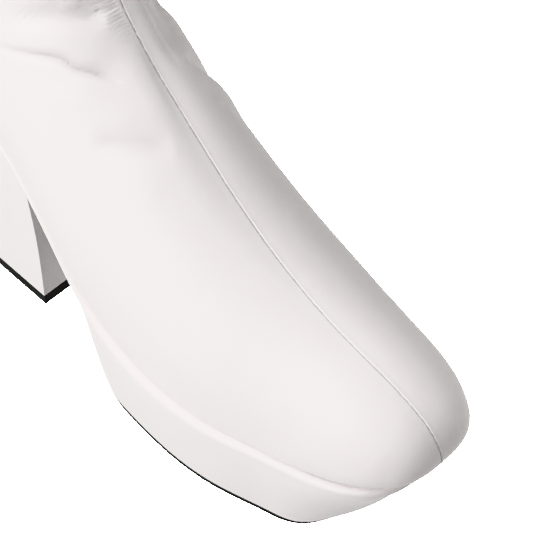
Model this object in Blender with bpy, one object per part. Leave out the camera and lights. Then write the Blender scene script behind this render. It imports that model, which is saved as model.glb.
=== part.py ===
"""Platform boot for the right foot: wrapped platform, block heel, thin outsole and a calf-high upper.

All sizes are in millimetres and are scaled to metres when a mesh is made.
Last frame: x forward from the back of the heel, y towards the inner (medial) side, z up from the floor.
The finished boot is moved so that its origin is on the floor under the middle of its box.
"""

import math
from collections import namedtuple

import bmesh
import bpy
import numpy as np
from mathutils import Matrix

MM = 0.001
MERGE = 0.00002

# Driving sizes of the last and of what is built on it.
LENGTH = 242.0
FOREFOOT_RISE = 37.0
HEEL_RISE = 110.0
TOE_SPRING = 5.0
BALL_LATERAL = 41.5
BALL_MEDIAL = 37.0
COLLAR_RISE = 302.0
WALL = 2.0
INSOLE = 2.5
OUTSOLE = 2.0
HEEL_LIFT = 5.0
SEAT = 5.0
FIT_GAP = 0.4
INSOLE_CLEAR = 2.4
SHARP_EDGE = math.radians(35)

# The last's bottom edge from the back of the heel to the toe: half-width to each side, and the share of the
# drop from heel to forefoot that is still left.
Station = namedtuple("Station", "name x lateral medial drop_left")
BOTTOM = (
    Station("heel back", 0.0, 26.0, 26.0, 1.0),
    Station("heel seat", 24.0, 30.0, 30.0, 0.94),
    Station("seat front", 50.0, 31.0, 28.0, 0.80),
    Station("shank", 76.0, 33.5, 26.0, 0.53),
    Station("waist", 100.0, 37.4, 27.5, 0.21),
    Station("joint", 122.0, 39.6, 31.5, 0.045),
    Station("ball", 152.0, BALL_LATERAL, BALL_MEDIAL - 1.5, 0.0),
    Station("tread", 176.0, BALL_LATERAL - 2.2, BALL_MEDIAL - 0.5, 0.0),
    Station("toe root", 200.0, BALL_LATERAL - 8.6, BALL_MEDIAL - 1.8, 0.0),
    Station("toe tip", LENGTH, BALL_LATERAL - 15.0, BALL_MEDIAL - 6.8, 0.0),
)
TOE_START = 200.0
TOE_ROUND = {"lateral": 2.75, "medial": 2.9}
TOE_SPRING_START = 180.0
TIP_SHIFT = 1.0
HEEL_START = 30.0
HEEL_ROUND = 2.1
SIGN = {"lateral": -1.0, "medial": 1.0}

# Sections of the upper.  Each lies in the plane through its base point and its top point, so the planes fan
# from flat at the toe, through upright at the ball, to flat again at the collar.  The base of a section on the
# sole is on the last's edge.  Bulge is the half-width gained over the sole where the section is widest, and
# level is where that is between base and top.
Section = namedtuple("Section", "name top_x top_z base_x base_z bulge level roundness")
SECTIONS = (
    Section("toe edge", LENGTH, FOREFOOT_RISE + TOE_SPRING, TOE_START, None, 0.0, 0.0, 2.8),
    Section("toe wall", 249.3, 48.7, 199.5, None, 0.8, 0.07, 2.7),
    Section("toe brow", 248.6, 58.2, 197.5, None, 1.2, 0.14, 2.5),
    Section("toe roof", 239.8, 68.0, 194.0, None, 1.1, 0.20, 2.4),
    Section("toe box", 221.0, 76.3, 187.0, None, 0.5, 0.24, 2.2),
    Section("vamp", 192.0, 84.8, 174.0, None, 0.0, 0.26, 2.2),
    Section("ball", 158.5, 104.3, 150.0, None, 0.0, 0.27, 2.2),
    Section("waist", 130.0, 131.5, 116.0, None, 1.0, 0.30, 2.2),
    Section("instep", 108.0, 154.8, 74.0, None, 2.4, 0.36, 2.2),
    Section("throat", 93.5, 181.0, 28.0, None, 4.0, 0.42, 2.2),
    Section("heel curve", 85.5, 210.0, 0.0, HEEL_RISE, 7.5, 0.46, 2.2),
    Section("ankle", 83.0, 240.0, 3.0, 186.0, 9.5, 0.50, 2.1),
    Section("calf", 86.0, 272.0, 1.5, 246.0, 12.0, 0.50, 2.1),
    Section("collar", 90.0, COLLAR_RISE, -3.0, COLLAR_RISE, 14.5, 0.50, 2.1),
)
HEEL_SECTION = 10
TOE_SECTIONS = 3
RING_SECTIONS = 2
BACK_ENVELOPE = 10.0

# Heel cup: how far forward the shaft's oval back reaches over the heel, and the rise over which it eases in.
CUP_DEPTH = SECTIONS[HEEL_SECTION].level * (SECTIONS[HEEL_SECTION].top_x - SECTIONS[HEEL_SECTION].base_x)
CUP_RISE = 30.0
CUP_LEAST = 0.001

# Centre front seam: a groove pressed into the wall along the crest.
SEAM_HALF = 1.3
SEAM_DEPTH = 0.6

# Side of the platform from under the upper to the tread: growth over the last's edge at the toe, the forefoot
# and the waist, the share of the platform's depth and a drop below that, both reached there.
Ledge = namedtuple("Ledge", "name toe forefoot waist depth drop")
PLATFORM_SIDE = (
    Ledge("top", 0.6, 0.6, -0.2, 0.0, 0.0),
    Ledge("shoulder", 2.0, 2.3, 0.5, 0.0, 0.7),
    Ledge("lip", 2.7, 3.0, 0.9, 0.0, 2.3),
    Ledge("wall", 1.5, 2.7, 0.8, 0.30, 2.3),
    Ledge("skirt", -6.0, 2.0, 0.4, 0.80, 0.0),
    Ledge("tread edge", -8.8, 1.2, -0.4, 1.0, 0.0),
)
LIP_DEPTH = 14.0
WAIST_END = 88.0
FOREFOOT_START = 130.0

# Underside of the platform: flat tread, raked toe, steep back slope, then the thin waist.
TREAD_Z = OUTSOLE + FIT_GAP
TREAD_REAR = 128.0
TREAD_FRONT = 208.0
TOE_RAKE = 26.8
TOE_RAKE_POWER = 1.55
BACK_RUN = 21.0
BACK_RISE = 44.0
BACK_POWER = 3.0
BACK_REACH = 3.0
WAIST_BLEND = 3.0
OUTSOLE_INSET = {"toe": -14.0, "forefoot": 1.2, "waist": -6.0}

# Block heel: breast and back at the seat and at the floor.
BREAST_TOP = 65.5
BREAST_FLOOR = 69.0
HEEL_BACK_TOP = 0.6
HEEL_BACK_FLOOR = 6.0
HEEL_HALF_TOP = 29.4
HEEL_HALF_FLOOR = 29.8
HEEL_SLIM = 1.4
HEEL_LEVELS = 7

# Stations along the last, closer together where an end is round or the underside is steep.
Span = namedtuple("Span", "name start end count")
SPANS = (
    Span("shank", HEEL_START, 98.0, 9),
    Span("back slope", 98.0, 130.0, 14),
    Span("tread", 130.0, TOE_START, 8),
)
END_STATIONS = 10

UPPER_ROWS = 40
LOW_COLUMNS = 6
ARCH_COLUMNS = 12

Finish = namedtuple("Finish", "name colour roughness")
LEATHER = Finish("white leather", (0.87, 0.85, 0.84), 0.42)
WRAP = Finish("platform leather", (0.85, 0.83, 0.82), 0.42)
HEEL_WRAP = Finish("heel leather", (0.85, 0.83, 0.82), 0.42)
TREAD_RUBBER = Finish("black rubber", (0.015, 0.015, 0.015), 0.6)
LIFT_RUBBER = Finish("lift rubber", (0.015, 0.015, 0.015), 0.6)
SOCK = Finish("insole lining", (0.62, 0.56, 0.48), 0.7)


def spline(knots, values):
    """Return a natural cubic spline through the knots, as a function of an array."""
    knots = np.asarray(knots, float)
    values = np.asarray(values, float)
    count = len(knots)
    step = np.diff(knots)
    slope = np.diff(values) / step
    matrix = np.eye(count)
    right = np.zeros(count)
    for i in range(1, count - 1):
        matrix[i, i - 1 : i + 2] = step[i - 1], 2 * (step[i - 1] + step[i]), step[i]
        right[i] = 6 * (slope[i] - slope[i - 1])
    bend = np.linalg.solve(matrix, right)

    def at(x):
        x = np.asarray(x, float)
        i = np.clip(np.searchsorted(knots, x) - 1, 0, count - 2)
        before = x - knots[i]
        after = knots[i + 1] - x
        cubic = (bend[i] * after**3 + bend[i + 1] * before**3) / (6 * step[i])
        left = (values[i] / step[i] - bend[i] * step[i] / 6) * after
        return cubic + left + (values[i + 1] / step[i] - bend[i + 1] * step[i] / 6) * before

    return at


def column(table, name):
    """Return one named column of a table as a list."""
    return [getattr(row, name) for row in table]


def share(x, start, end):
    """Share of the way from start to end, eased at both."""
    t = np.clip((np.asarray(x, float) - start) / (end - start), 0, 1)
    return t * t * (3 - 2 * t)


HALF_WIDTH = {side: spline(column(BOTTOM, "x"), column(BOTTOM, side)) for side in SIGN}
DROP_LEFT = spline(column(BOTTOM, "x"), column(BOTTOM, "drop_left"))


def edge_height(x):
    """Height over the floor of the last's bottom edge at x."""
    x = np.asarray(x, float)
    spring = np.clip((x - TOE_SPRING_START) / (LENGTH - TOE_SPRING_START), 0, None) ** 2
    drop = (HEEL_RISE - FOREFOOT_RISE) * DROP_LEFT(np.clip(x, 0, LENGTH))
    return FOREFOOT_RISE + drop + TOE_SPRING * spring


def end_rounding(x, side, grow):
    """Share of the half-width left at x by the rounding of the toe and of the heel."""
    toe = np.clip((x - TOE_START) / (LENGTH + grow - TOE_START), 0, 1)
    heel = np.clip((HEEL_START - x) / (HEEL_START + grow), 0, 1)
    power = TOE_ROUND[side]
    return (1 - toe**power) ** (1 / power) * (1 - heel**HEEL_ROUND) ** (1 / HEEL_ROUND)


def tip_shift(x):
    """How far the toe's middle lies towards the medial side at x."""
    return TIP_SHIFT * np.clip((x - TOE_START) / (LENGTH - TOE_START), 0, 1) ** 2


def edge_y(x, side, grow):
    """Sideways place of the last's bottom edge at x, grown outwards."""
    shift = tip_shift(x)
    reach = HALF_WIDTH[side](np.clip(x, 0, LENGTH)) + grow - SIGN[side] * shift
    return shift + SIGN[side] * reach * end_rounding(x, side, grow)


def growth(x, toe, forefoot, waist):
    """Growth over the last's edge at x, eased between its values at waist, forefoot and toe."""
    front = forefoot + (toe - forefoot) * share(x, TOE_START, LENGTH)
    return waist + (front - waist) * share(x, WAIST_END, FOREFOOT_START)


def underside(x):
    """Height of the platform's underside at x."""
    toe = np.clip((x - TREAD_FRONT) / (LENGTH - TREAD_FRONT), 0, None) ** TOE_RAKE_POWER
    back = np.clip((TREAD_REAR - x) / BACK_RUN, 0, BACK_REACH) ** BACK_POWER
    block = TREAD_Z + TOE_RAKE * toe + BACK_RISE * back
    waist = edge_height(x) - FIT_GAP - SEAT
    return (block + waist - np.sqrt((block - waist) ** 2 + WAIST_BLEND**2)) / 2 + clearance(block, waist)


def clearance(block, waist):
    """Undo what the blend of block and waist takes off where the two are far apart."""
    return WAIST_BLEND**2 / (4 * np.maximum(np.abs(block - waist), WAIST_BLEND))


def along(start=0.0, end=LENGTH):
    """Stations from start to end along the last."""
    turn = np.linspace(0, math.pi / 2, END_STATIONS, endpoint=False)
    heel = HEEL_START * (1 - np.cos(turn))
    middle = [np.linspace(span.start, span.end, span.count, endpoint=False) for span in SPANS]
    toe = TOE_START + (LENGTH - TOE_START) * np.sin(turn)
    stations = np.concatenate([heel, *middle, toe, [LENGTH]])
    inner = stations[(stations > start + 1) & (stations < end - 1)]
    return np.concatenate([[start], inner, [end]])


def level(stations, grow, height):
    """One level of a sole piece: its edge points on each side, at the height that the function gives."""
    x = stations + grow * (2 * stations / LENGTH - 1)
    z = height(x)
    return [np.stack([x, edge_y(x, side, grow), z], axis=-1) for side in SIGN]


def new_object(name, bm, finish):
    """Put a finished mesh in the scene with its own material."""
    mesh = bpy.data.meshes.new(name)
    bm.to_mesh(mesh)
    bm.free()
    mesh.shade_smooth()
    mesh.set_sharp_from_angle(angle=SHARP_EDGE)
    material = bpy.data.materials.new(finish.name)
    material.use_nodes = True
    shader = material.node_tree.nodes["Principled BSDF"]
    shader.inputs["Base Color"].default_value = (*finish.colour, 1.0)
    shader.inputs["Roughness"].default_value = finish.roughness
    mesh.materials.append(material)
    thing = bpy.data.objects.new(name, mesh)
    bpy.context.collection.objects.link(thing)
    return thing


def skin(rings, closed):
    """Make a mesh of quads between rings of points, which close on themselves or stay open."""
    bm = bmesh.new()
    grid = [[bm.verts.new(point * MM) for point in ring] for ring in rings]
    for near, far in zip(grid, grid[1:]):
        around = list(zip(near, far))
        neighbours = around[1:] + around[:1] if closed else around[1:]
        for (a, d), (b, c) in zip(around, neighbours):
            bm.faces.new((a, b, c, d))
    return bm, grid


def mend(bm):
    """Join points that coincide and drop the faces that this closes up."""
    bmesh.ops.remove_doubles(bm, verts=bm.verts, dist=MERGE)
    bmesh.ops.dissolve_degenerate(bm, edges=bm.edges, dist=MERGE)


def loft(name, levels, finish, cap_rear=False, cap_front=False):
    """Solid through levels of edge points, from its top level to its bottom level."""
    lateral = [sides[0] for sides in levels]
    medial = [sides[1] for sides in levels]
    rings = np.stack(lateral + medial[::-1], axis=1)
    bm, grid = skin(rings, closed=True)
    if cap_rear:
        bm.faces.new(grid[0])
    if cap_front:
        bm.faces.new(grid[-1])
    mend(bm)
    bmesh.ops.recalc_face_normals(bm, faces=bm.faces)
    return new_object(name, bm, finish)


def platform():
    """Wrapped platform: rounded lip, wall, raked toe and steep back, thin under the waist and the heel."""
    stations = along()
    levels = []
    for ledge in PLATFORM_SIDE:
        grow = growth(stations, ledge.toe, ledge.forefoot, ledge.waist)

        def height(x, ledge=ledge):
            top = edge_height(x) - FIT_GAP
            depth = top - underside(x)
            drop = ledge.drop * (1 - ledge.depth) * np.minimum(1, depth / LIP_DEPTH)
            return top - ledge.depth * depth - drop

        levels.append(level(stations, grow, height))
    return loft("platform", levels, WRAP)


def outsole():
    """Rubber sheet of even thickness under the platform, from the heel breast to the toe."""
    stations = along(start=BREAST_TOP + FIT_GAP + OUTSOLE)
    grow = growth(stations, **OUTSOLE_INSET)
    levels = []
    for depth in (FIT_GAP, FIT_GAP + OUTSOLE):
        sides = level(stations, grow, underside)
        for points in sides:
            slope = np.gradient(underside(points[:, 0]), points[:, 0])
            length = np.sqrt(1 + slope**2)
            points[:, 0] += depth * slope / length
            points[:, 2] -= depth / length
        levels.append(sides)
    return loft("outsole", levels, TREAD_RUBBER, cap_rear=True)


def insole():
    """Sheet that fills the upper's open underside just above the platform."""
    stations = along()
    grow = np.full_like(stations, -WALL - INSOLE_CLEAR)
    levels = [level(stations, grow, lambda x, rise=rise: edge_height(x) + rise) for rise in (INSOLE, 0.0)]
    return loft("insole", levels, SOCK)


def heel_level(depth):
    """One level of the heel at a share of its depth: D outline with a round back and a straight breast."""
    slim = HEEL_SLIM * math.sin(math.pi * depth)
    back = HEEL_BACK_TOP + (HEEL_BACK_FLOOR - HEEL_BACK_TOP) * depth + slim
    breast = BREAST_TOP + (BREAST_FLOOR - BREAST_TOP) * depth
    half = HEEL_HALF_TOP + (HEEL_HALF_FLOOR - HEEL_HALF_TOP) * depth - slim
    turn = np.linspace(0, math.pi / 2, END_STATIONS, endpoint=False)
    round_back = back + HEEL_START * (1 - np.cos(turn))
    x = np.concatenate([round_back, np.linspace(back + HEEL_START, breast, END_STATIONS // 2)])
    bend = np.clip((back + HEEL_START - x) / HEEL_START, 0, 1)
    y = half * (1 - bend**HEEL_ROUND) ** (1 / HEEL_ROUND)
    return x, y


def heel():
    """Wrapped block heel between the platform's seat and the lift."""
    foot = HEEL_LIFT + FIT_GAP
    levels = []
    for depth in np.linspace(0, 1, HEEL_LEVELS):
        x, y = heel_level(depth)
        seat = underside(x) - FIT_GAP
        z = seat + (foot - seat) * depth
        levels.append([np.stack([x, SIGN[side] * y, z], axis=-1) for side in SIGN])
    return loft("heel", levels, HEEL_WRAP, cap_front=True)


def heel_lift():
    """Rubber top piece under the heel, flat on the floor."""
    x, y = heel_level(1.0)
    levels = []
    for height in (HEEL_LIFT, 0.0):
        z = np.full_like(x, height)
        levels.append([np.stack([x, SIGN[side] * y, z], axis=-1) for side in SIGN])
    return loft("heel_lift", levels, LIFT_RUBBER, cap_front=True)


def section_table(rows):
    """Interpolate the section table to that many rows, as a dict of columns."""
    knots = np.arange(len(SECTIONS), dtype=float)
    place = np.linspace(0, len(SECTIONS) - 1, rows)
    names = ("top_x", "top_z", "bulge", "level", "roundness")
    table = {name: spline(knots, column(SECTIONS, name))(place) for name in names}
    foot = SECTIONS[: HEEL_SECTION + 1]
    back = SECTIONS[HEEL_SECTION:]
    foot_x = spline(knots[: HEEL_SECTION + 1], column(foot, "base_x"))(place)
    back_x = spline(knots[HEEL_SECTION:], column(back, "base_x"))(place)
    back_z = spline(knots[HEEL_SECTION:], column(back, "base_z"))(place)
    on_sole = place <= HEEL_SECTION
    table["base_x"] = np.where(on_sole, foot_x, back_x)
    table["base_z"] = np.where(on_sole, edge_height(foot_x), back_z)
    table["on_sole"] = on_sole
    table["place"] = place
    return {name: values[:, None] for name, values in table.items()}


def half_section(table, side):
    """Points of one side of every section, from its base to the crest."""
    base_x = table["base_x"]
    reach = table["top_x"] - base_x
    rise = table["top_z"] - table["base_z"]

    def full_half(height):
        return HALF_WIDTH[side](np.clip(base_x + height * reach, BACK_ENVELOPE, LENGTH)) + table["bulge"]

    edge = np.abs(edge_y(base_x, side, 0.0) - tip_shift(base_x)) * table["on_sole"]
    ring = np.clip((table["place"] - HEEL_SECTION) / RING_SECTIONS + 1, 0, 1)
    toward = np.linspace(0, 1, LOW_COLUMNS, endpoint=False)[None]
    swing = toward * math.pi / 2
    low_height = table["level"] * ((1 - ring) * toward + ring * (1 - np.cos(swing)))
    # The foot's wall swings out from the sole's edge. Round the heel it is a cup, which eases from that edge
    # into the oval back of the shaft.
    full = full_half(low_height)
    wall = edge + (full - edge) * np.sin(swing)
    low_x = base_x + low_height * reach
    oval = full * np.sqrt(1 - (1 - np.clip(low_x / CUP_DEPTH, 0, 1)) ** 2)
    above_edge = table["base_z"] + low_height * rise - edge_height(low_x)
    narrowing = 1 - np.abs(edge_y(low_x, side, 0.0)) / np.maximum(oval, CUP_LEAST)
    tuck = 1 - narrowing * np.clip(1 - above_edge / CUP_RISE, 0, 1) ** 2
    cup = np.where(table["on_sole"], oval, wall) * tuck
    low_half = wall + share(ring, 0, 1) * (cup - wall)

    own = table["roundness"]
    power = TOE_ROUND[side] + (own - TOE_ROUND[side]) * np.clip(table["place"] / TOE_SECTIONS, 0, 1)
    turn = np.linspace(0, math.pi / 2, ARCH_COLUMNS, endpoint=False)[None]
    crest = full_half(np.ones_like(reach))
    across = np.concatenate([np.cos(turn) ** (2 / power), SEAM_HALF / crest, np.zeros_like(crest)], axis=1)
    arch_height = table["level"] + (1 - table["level"]) * (1 - across**power) ** (1 / power)
    arch_half = across * full_half(arch_height)

    height = np.concatenate([low_height, arch_height], axis=1)
    half = np.concatenate([low_half, arch_half], axis=1)
    height[:, -1:] -= SEAM_DEPTH / np.hypot(reach, rise) * np.clip(table["place"], 0, 1)
    x = base_x + height * reach
    y = SIGN[side] * half + height * tip_shift(x)
    return np.stack([x, y, table["base_z"] + height * rise], axis=-1)


def upper():
    """Hollow upper: the outer face through the sections, thickened inwards to the wall."""
    table = section_table(UPPER_ROWS)
    lateral, medial = (half_section(table, side) for side in SIGN)
    rows = np.concatenate([lateral, medial[:, -2::-1]], axis=1)
    bm, _ = skin(rows, closed=False)
    mend(bm)
    thing = new_object("upper", bm, LEATHER)
    wall = thing.modifiers.new("wall", "SOLIDIFY")
    wall.thickness = WALL * MM
    wall.offset = -1.0
    wall.use_even_offset = True
    return thing


def centre(things):
    """Move the pieces so that the middle of their box is over the origin."""
    corners = np.array([vertex.co[:] for thing in things for vertex in thing.data.vertices])
    middle = (corners.min(axis=0) + corners.max(axis=0)) / 2
    for thing in things:
        thing.data.transform(Matrix.Translation((-middle[0], -middle[1], 0.0)))


def main():
    """Build the boot."""
    for old in list(bpy.data.objects):
        bpy.data.objects.remove(old, do_unlink=True)
    pieces = [outsole(), platform(), heel(), heel_lift(), insole(), upper()]
    centre(pieces)


main()
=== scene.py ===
"""Looks of a white leather platform boot for the right foot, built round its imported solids.

Sizes are in millimetres in the last frame: x forward from the back of the heel, y towards the inner
(medial) side, z up from the floor.  Places on the upper are given as a section (0 at the toe edge, 13 at the
collar) and a distance across from the front seam, negative on the outer (lateral) side.  The finishes, the
floor and the lamps' distances and sizes are in metres.
"""

import logging
import math
from dataclasses import dataclass, field
from enum import Enum
from functools import partial
from typing import Callable, Iterable, Mapping, NamedTuple, Sequence

import bmesh
import bpy
import numpy as np
from mathutils import Matrix, Vector


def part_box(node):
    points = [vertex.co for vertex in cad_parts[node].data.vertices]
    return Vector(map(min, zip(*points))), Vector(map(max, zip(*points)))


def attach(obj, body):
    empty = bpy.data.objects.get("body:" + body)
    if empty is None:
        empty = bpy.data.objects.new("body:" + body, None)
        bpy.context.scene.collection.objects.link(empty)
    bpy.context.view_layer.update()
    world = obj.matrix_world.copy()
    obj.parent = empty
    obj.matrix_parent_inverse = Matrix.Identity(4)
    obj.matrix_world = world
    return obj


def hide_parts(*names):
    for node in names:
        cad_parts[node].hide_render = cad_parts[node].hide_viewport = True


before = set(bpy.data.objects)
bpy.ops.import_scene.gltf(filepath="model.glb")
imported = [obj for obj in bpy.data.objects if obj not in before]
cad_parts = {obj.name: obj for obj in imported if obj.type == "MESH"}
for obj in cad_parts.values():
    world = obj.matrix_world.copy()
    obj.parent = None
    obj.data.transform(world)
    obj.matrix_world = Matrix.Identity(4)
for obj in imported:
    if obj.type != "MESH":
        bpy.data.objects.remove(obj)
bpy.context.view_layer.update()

LOG = logging.getLogger("boot")
MM = 0.001
MERGE = 0.00002
BODY = "root"
IMAGE_SIDE = 550
HALF_TURN = math.pi
QUARTER_TURN = math.pi / 2
TINY = 1e-9
MIDDLE = 0.5
# Name of the mesh attribute that carries the painted shade laid along the upper's creases.
PAINTED_SHADE = "painted_shade"
Colour = tuple[float, float, float]


class Side(Enum):
    """The two sides of a right boot, with the sign of y on each."""

    LATERAL = -1.0
    MEDIAL = 1.0


class Run(Enum):
    """Which way a fold runs: across the boot, or along it beside the seam."""

    ACROSS = "across"
    ALONG = "along"


class Station(NamedTuple):
    """One station of the last's bottom edge; drop_left is the share of the heel's rise still left."""

    name: str
    x: float
    lateral: float
    medial: float
    drop_left: float


class Section(NamedTuple):
    """One section of the upper, in the plane through its base point and its top point."""

    name: str
    top_x: float
    top_z: float
    base_x: float
    base_z: float | None
    bulge: float
    level: float
    roundness: float


class Ledge(NamedTuple):
    """One level of the platform's side: growth at toe, forefoot and waist, share of depth, and drop."""

    name: str
    toe: float
    forefoot: float
    waist: float
    depth: float
    drop: float


class Span(NamedTuple):
    """A stretch from start to end that is cut into a count of steps."""

    start: float
    end: float
    count: int


class Fold(NamedTuple):
    """A soft trough (height below 0) or ridge along a line of places on the upper.

    Ahead and behind are its half-widths: towards toe and collar for a fold that runs across, towards sole
    and seam for one that runs along.  Fade is the share of its length over which each end dies out.  Edge is
    2 for a round fold and nearer 1 for a sharp one.  The last field is painted shade: how far the leather is
    painted darker along its line, for the shade that falls in the crease.
    """

    name: str
    line: tuple[tuple[float, float], ...]
    height: float
    ahead: float
    behind: float
    fade: tuple[float, float] = (0.3, 0.3)
    run: Run = Run.ACROSS
    edge: float = 2.0
    painted_shade: float = 0.0


class Spline:
    """Natural cubic spline through knots."""

    def __init__(self, knots: Sequence[float], values: Sequence[float]) -> None:
        """Solve the spline.

        Args:
            knots: Places of the knots, rising.
            values: Value at each knot.
        """
        self.knots = np.asarray(knots, float)
        self.values = np.asarray(values, float)
        count = len(self.knots)
        self.step = np.diff(self.knots)
        slope = np.diff(self.values) / self.step
        matrix = np.eye(count)
        right = np.zeros(count)
        for i in range(1, count - 1):
            matrix[i, i - 1 : i + 2] = self.step[i - 1], 2 * (self.step[i - 1] + self.step[i]), self.step[i]
            right[i] = 6 * (slope[i] - slope[i - 1])
        self.bend = np.linalg.solve(matrix, right)

    def __call__(self, x: np.ndarray | float) -> np.ndarray:
        """Evaluate the spline.

        Args:
            x: Places between the first and the last knot.

        Returns:
            Its value at each.
        """
        x = np.asarray(x, float)
        i = np.clip(np.searchsorted(self.knots, x) - 1, 0, len(self.knots) - 2)
        before = x - self.knots[i]
        after = self.knots[i + 1] - x
        step = self.step[i]
        cubic = (self.bend[i] * after**3 + self.bend[i + 1] * before**3) / (6 * step)
        left = (self.values[i] / step - self.bend[i] * step / 6) * after
        return cubic + left + (self.values[i + 1] / step - self.bend[i + 1] * step / 6) * before


def column(table: Iterable[NamedTuple], name: str) -> list[float]:
    """One named column of a table."""
    return [getattr(row, name) for row in table]


def ease(t: np.ndarray | float) -> np.ndarray:
    """Share of the way from 0 to 1, eased at both ends."""
    t = np.clip(t, 0, 1)
    return t * t * (3 - 2 * t)


def unit(vectors: np.ndarray) -> np.ndarray:
    """Vectors brought to length 1 along the last axis."""
    return vectors / np.maximum(np.linalg.norm(vectors, axis=-1, keepdims=True), TINY)


def steps(spans: Sequence[Span]) -> np.ndarray:
    """Places along spans that follow one another, with the last end."""
    parts = [np.linspace(span.start, span.end, span.count, endpoint=False) for span in spans]
    return np.concatenate([*parts, [spans[-1].end]])


class Wire:
    """A float output in a node tree; arithmetic on it adds Math nodes."""

    def __init__(self, nodes: "Nodes", socket: bpy.types.NodeSocket) -> None:
        """Wrap a socket of a tree."""
        self.nodes = nodes
        self.socket = socket

    def math(self, operation: str, first: "Wire | float", second: "Wire | float") -> "Wire":
        """Add a Math node.

        Args:
            operation: The node's operation.
            first: Its first value.
            second: Its second value.

        Returns:
            The node's output.
        """
        node = self.nodes.add("ShaderNodeMath", {"operation": operation}, {0: first, 1: second})
        return Wire(self.nodes, node.outputs[0])

    def __add__(self, other: "Wire | float") -> "Wire":
        """Sum."""
        return self.math("ADD", self, other)

    def __sub__(self, other: "Wire | float") -> "Wire":
        """Difference."""
        return self.math("SUBTRACT", self, other)

    def __mul__(self, other: "Wire | float") -> "Wire":
        """Product."""
        return self.math("MULTIPLY", self, other)

    def __rmul__(self, other: float) -> "Wire":
        """Product, with a number first."""
        return self.math("MULTIPLY", other, self)


class Nodes:
    """A node tree, with the one method that adds nodes to it and the numbers of a Mix node's colours."""

    MIX_FIRST = 6
    MIX_SECOND = 7
    MIX_RESULT = 2

    def __init__(self, tree: bpy.types.NodeTree) -> None:
        """Take a tree and empty it."""
        self.tree = tree
        tree.nodes.clear()

    def add(
        self,
        kind: str,
        settings: Mapping[str, object] | None = None,
        sockets: Mapping[int | str, object] | None = None,
    ) -> bpy.types.Node:
        """Add a node.

        Args:
            kind: The node's type.
            settings: Its own settings, set first.
            sockets: Values or links of its inputs, by name or number.

        Returns:
            The new node.
        """
        node = self.tree.nodes.new(kind)
        for name, value in (settings or {}).items():
            setattr(node, name, value)
        for name, value in (sockets or {}).items():
            target = node.inputs[name]
            source = value.socket if isinstance(value, Wire) else value
            if isinstance(source, bpy.types.NodeSocket):
                self.tree.links.new(source, target)
            else:
                target.default_value = source
        return node

    def wire(self, node: bpy.types.Node, output: int | str = 0) -> Wire:
        """A node's float output, ready for arithmetic."""
        return Wire(self, node.outputs[output])

    def place(self) -> bpy.types.NodeSocket:
        """The piece's own Object coordinates."""
        return self.add("ShaderNodeTexCoord").outputs["Object"]

    def noise(self, scale: float, detail: float = 2.0) -> Wire:
        """Soft noise over Object coordinates.

        Args:
            scale: Repeats in a metre.
            detail: Number of finer layers.

        Returns:
            Its value, about 0.5 in the middle.
        """
        sockets = {"Vector": self.place(), "Scale": scale, "Detail": detail}
        return self.wire(self.add("ShaderNodeTexNoise", None, sockets), "Fac")

    def cells(self, scale: float) -> Wire:
        """Distance from the middle of round cells over Object coordinates."""
        sockets = {"Vector": self.place(), "Scale": scale}
        return self.wire(self.add("ShaderNodeTexVoronoi", {"feature": "SMOOTH_F1"}, sockets), "Distance")

    def blend(
        self, share: Wire, first: "Colour | bpy.types.NodeSocket", second: Colour
    ) -> bpy.types.NodeSocket:
        """Mix two colours.

        Args:
            share: Share of the second colour.
            first: Colour at 0, or the socket that gives it.
            second: Colour at 1.

        Returns:
            The mixed colour's socket.
        """
        start = first if isinstance(first, bpy.types.NodeSocket) else (*first, 1.0)
        sockets = {"Factor": share, self.MIX_FIRST: start, self.MIX_SECOND: (*second, 1.0)}
        return self.add("ShaderNodeMix", {"data_type": "RGBA"}, sockets).outputs[self.MIX_RESULT]

    def bump(self, height: Wire) -> bpy.types.NodeSocket:
        """Normal bent by a height in metres."""
        sockets = {"Strength": 1.0, "Distance": 1.0, "Height": height}
        return self.add("ShaderNodeBump", None, sockets).outputs["Normal"]

    def surface(self, sockets: Mapping[str, object]) -> None:
        """Close the tree with a Principled shader that has these values and links."""
        shader = self.add("ShaderNodeBsdfPrincipled", None, sockets)
        self.add("ShaderNodeOutputMaterial", None, {"Surface": shader.outputs["BSDF"]})


def material_nodes(name: str) -> tuple[bpy.types.Material, Nodes]:
    """Make a material.

    Args:
        name: Its name.

    Returns:
        The new material and its empty node tree.
    """
    material = bpy.data.materials.new(name)
    material.use_nodes = True
    return material, Nodes(material.node_tree)


@dataclass(frozen=True)
class Leather:
    """Smooth white leather with a satin top coat, a fine grain, soft unevenness and painted shade along the
    upper's creases.
    """

    name: str
    colour: Colour = (0.880, 0.840, 0.832)
    shade: Colour = (0.862, 0.820, 0.812)
    # Colour of the painted shade in the creases.
    painted_shade_colour: Colour = (0.440, 0.410, 0.405)
    roughness: float = 0.56
    sag_play: float = 0.08
    grain_play: float = 0.04
    coat: float = 0.05
    coat_roughness: float = 0.38
    grain_scale: float = 1500.0
    grain_height: float = 0.000035
    pore_scale: float = 3200.0
    pore_height: float = 0.000012
    sag_scale: float = 38.0
    sag_height: float = 0.00022

    def material(self) -> bpy.types.Material:
        """Make the material.

        Returns:
            White leather whose grain, gloss and tone vary over the piece, painted darker where the piece's
            painted-shade attribute marks its creases.
        """
        material, nodes = material_nodes(self.name)
        grain = nodes.cells(self.grain_scale)
        pores = nodes.noise(self.pore_scale)
        sag = nodes.noise(self.sag_scale)
        height = self.grain_height * grain + self.pore_height * pores + self.sag_height * sag
        play = (sag - MIDDLE) * self.sag_play + (grain - MIDDLE) * self.grain_play
        # Painted shade: where the piece's attribute is set, the colour darkens towards the painted shade
        # colour along the creases.
        painted_shade = nodes.wire(nodes.add("ShaderNodeAttribute", {"attribute_name": PAINTED_SHADE}), "Fac")
        nodes.surface({
            "Base Color": nodes.blend(painted_shade, nodes.blend(sag, self.colour, self.shade), self.painted_shade_colour),
            "Roughness": play + self.roughness,
            "Coat Weight": self.coat,
            "Coat Roughness": self.coat_roughness,
            "Normal": nodes.bump(height),
        })
        return material


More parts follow.
